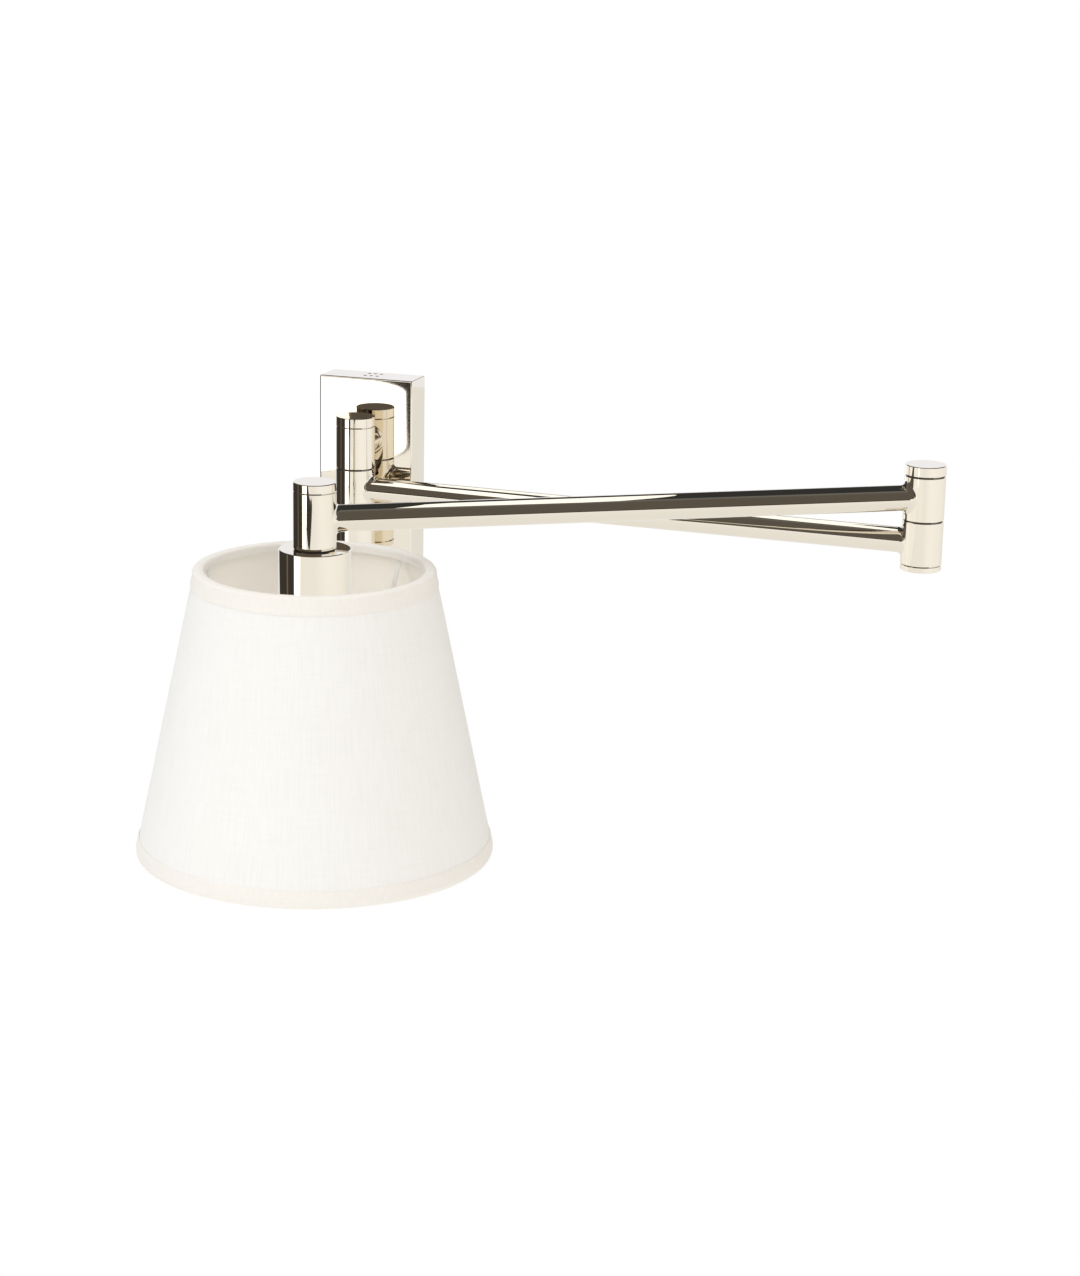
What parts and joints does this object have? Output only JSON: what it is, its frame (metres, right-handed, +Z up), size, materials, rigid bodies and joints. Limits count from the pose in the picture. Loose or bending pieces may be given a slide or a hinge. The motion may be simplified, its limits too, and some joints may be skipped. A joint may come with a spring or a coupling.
{
  "type": "swing arm wall sconce",
  "caption": "Wall lamp with two tube arms that swing on capped pivots, a box-shaped wall plate and a tapered linen shade hung below the head.",
  "frame": {"origin": "middle of the wall plate's back, on the wall, between the two wall screws", "axes": "+Y into the wall, +Z up, +X along the wall"},
  "size_m": [0.4417, 0.3584, 0.2445],
  "materials": {
    "polished_nickel": "mirror polished nickel plate",
    "zinc_steel": "zinc plated",
    "turned_brass": "turned",
    "friction_washer": "dark fibre washer",
    "holder_body": "glazed white",
    "ring_nut": "white enamel",
    "shade_wire": "white enamelled wire",
    "shade_liner": "matt white styrene",
    "shade_linen": "slubbed off-white linen",
    "shade_trim": "cream bias tape"
  },
  "bodies": {
    "wall": {"wall_plate": "polished_nickel", "mounting_strap": "zinc_steel", "plate_screws": "zinc_steel", "upper_stand_off": "polished_nickel", "lower_stand_off": "polished_nickel", "stand_off_washers": "zinc_steel", "stand_off_nuts": "zinc_steel", "upper_wall_knuckle": "polished_nickel", "lower_wall_knuckle": "polished_nickel", "post_spindle": "turned_brass", "post_washers": "friction_washer", "post_cap": "polished_nickel", "post_foot": "polished_nickel"},
    "arm_1": {"arm_1_tube": "polished_nickel", "arm_1_knuckle": "polished_nickel", "arm_1_bush": "turned_brass", "elbow_lower_knuckle": "polished_nickel", "elbow_spindle": "turned_brass", "elbow_washers": "friction_washer", "elbow_cap": "polished_nickel", "elbow_foot": "polished_nickel"},
    "arm_2": {"arm_2_tube": "polished_nickel", "elbow_upper_knuckle": "polished_nickel", "elbow_bush": "turned_brass", "head_barrel": "polished_nickel", "head_bush": "turned_brass", "head_cap": "polished_nickel"},
    "head": {"head_nipple": "turned_brass", "head_nut": "zinc_steel", "head_spring_washer": "zinc_steel", "head_washer": "friction_washer", "socket_cup": "polished_nickel", "socket_body": "holder_body", "socket_screw_shell": "turned_brass", "socket_contact": "turned_brass", "shade_ring_nut": "ring_nut", "shade_carrier": "shade_wire", "shade_drop_wires": "shade_wire", "shade_top_ring": "shade_wire", "shade_bottom_ring": "shade_wire", "shade_liner": "shade_liner", "shade_linen": "shade_linen", "shade_top_trim": "shade_trim", "shade_bottom_trim": "shade_trim"}
  },
  "joints": [
    {"name": "wall_pivot", "type": "hinge", "parent": "wall", "child": "arm_1", "pos_m": [0, -0.042, 0], "axis": [0, 0, 1], "range_deg": [-178.5, 1.5]},
    {"name": "elbow_pivot", "type": "hinge", "parent": "arm_1", "child": "arm_2", "pos_m": [0.37787, -0.05189, 0], "axis": [0, 0, 1], "range_deg": [-11.25, 304.75]},
    {"name": "head_swivel", "type": "hinge", "parent": "arm_2", "child": "head", "pos_m": [0.05644, -0.2508, 0], "axis": [0, 0, 1], "range_deg": [-170, 170]}
  ]
}
